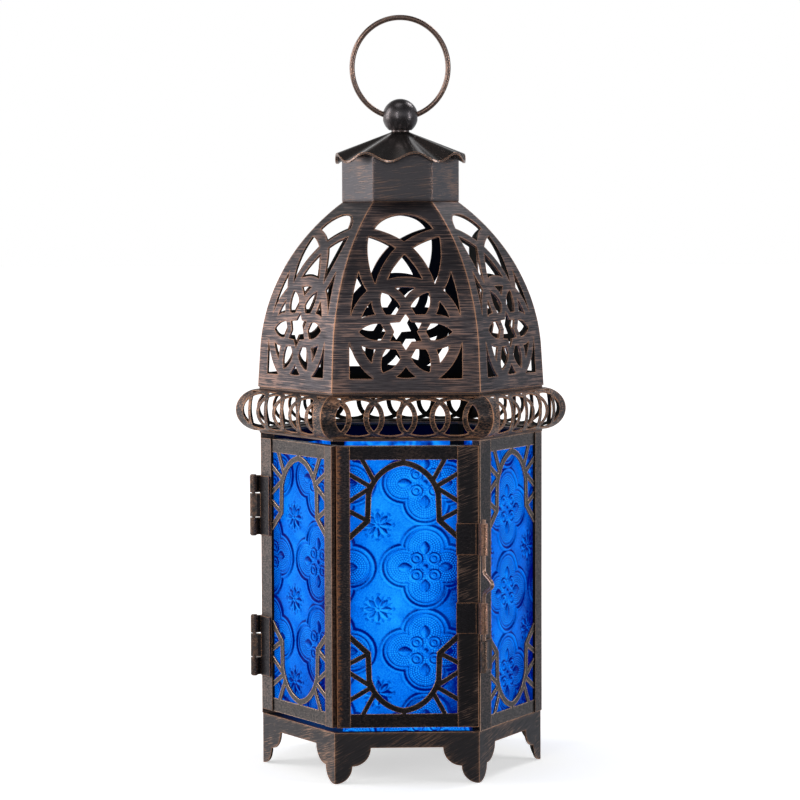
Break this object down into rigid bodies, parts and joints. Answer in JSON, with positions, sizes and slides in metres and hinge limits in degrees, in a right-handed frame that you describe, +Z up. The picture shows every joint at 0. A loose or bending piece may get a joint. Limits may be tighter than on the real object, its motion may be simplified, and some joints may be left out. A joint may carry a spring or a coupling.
{
  "type": "candle lantern",
  "caption": "Hexagonal candle lantern with blue patterned panes, a hinged two-panel door with a bolt, a pierced gallery and dome, a fluted cap and a swinging ring.",
  "frame": {"origin": "middle of the footprint, level with the foot tips", "axes": "+Z up, -Y out of the front panel, +X to the right seen from the front, along a hexagon corner"},
  "size_m": [0.1324, 0.1146, 0.299],
  "materials": {
    "sheet_bronze": "near-black brushed antique bronze, copper-worn edges",
    "pierced_bronze": "near-black brushed antique bronze, copper-worn edges",
    "fretwork_bronze": "near-black antique bronze, copper-worn edges",
    "channel_bronze": "near-black antique bronze, copper-worn edges",
    "hardware_bronze": "dark bronze, strongly rubbed to copper",
    "finial_bronze": "smooth dark bronze",
    "blue_glass": "bright azure patterned glass"
  },
  "bodies": {
    "lantern": {"ball_finial": "finial_bronze", "base_skirt": "sheet_bronze", "candle_cup": "sheet_bronze", "candle_cup_rivets": "finial_bronze", "cap_roof": "sheet_bronze", "collar": "sheet_bronze", "collar_strap": "sheet_bronze", "corner_post_back_left": "channel_bronze", "corner_post_back_right": "channel_bronze", "corner_post_right": "channel_bronze", "dome_petal_back": "pierced_bronze", "dome_petal_back_left": "pierced_bronze", "dome_petal_back_right": "pierced_bronze", "dome_petal_front": "pierced_bronze", "dome_petal_left": "pierced_bronze", "dome_petal_right": "pierced_bronze", "finial_nut": "finial_bronze", "finial_stud": "finial_bronze", "finial_washer": "finial_bronze", "floor_plate": "sheet_bronze", "fretwork_back": "fretwork_bronze", "fretwork_back_left": "fretwork_bronze", "fretwork_back_right": "fretwork_bronze", "fretwork_right": "fretwork_bronze", "gallery_back": "pierced_bronze", "gallery_back_left": "pierced_bronze", "gallery_back_right": "pierced_bronze", "gallery_front": "pierced_bronze", "gallery_left": "pierced_bronze", "gallery_lower_ring": "pierced_bronze", "gallery_right": "pierced_bronze", "gallery_upper_ring": "pierced_bronze", "glass_back": "blue_glass", "glass_back_left": "blue_glass", "glass_back_right": "blue_glass", "glass_right": "blue_glass", "hinge_frame_leaf_lower": "hardware_bronze", "hinge_frame_leaf_upper": "hardware_bronze", "hinge_pin_lower": "hardware_bronze", "hinge_pin_upper": "hardware_bronze", "hinge_post": "channel_bronze", "latch_keeper": "hardware_bronze", "latch_post": "channel_bronze"},
    "door": {"door_corner_strip": "channel_bronze", "door_fretwork_front": "fretwork_bronze", "door_fretwork_left": "fretwork_bronze", "door_front_inner_stile": "channel_bronze", "door_glass_front": "blue_glass", "door_glass_left": "blue_glass", "door_hinge_stile": "channel_bronze", "door_latch_stile": "channel_bronze", "door_left_inner_stile": "channel_bronze", "hinge_door_leaf_lower": "hardware_bronze", "hinge_door_leaf_upper": "hardware_bronze", "latch_guide_lower": "hardware_bronze", "latch_guide_upper": "hardware_bronze"},
    "latch_bolt": {"latch_bolt": "hardware_bronze"},
    "hang_ring": {"hang_ring": "finial_bronze"}
  },
  "joints": [
    {"name": "door_swing", "type": "hinge", "parent": "lantern", "child": "door", "pos_m": [-0.0593, 0, 0.0755], "axis": [0, 0, -1], "range_deg": [0, 210]},
    {"name": "bolt_slide", "type": "slide", "parent": "door", "child": "latch_bolt", "axis": [0, 0, 1], "range_m": [-0.0022, 0.004]},
    {"name": "ring_swing", "type": "hinge", "parent": "lantern", "child": "hang_ring", "pos_m": [0, 0, 0.259], "axis": [1, 0, 0], "range_deg": [-120, 120]}
  ]
}
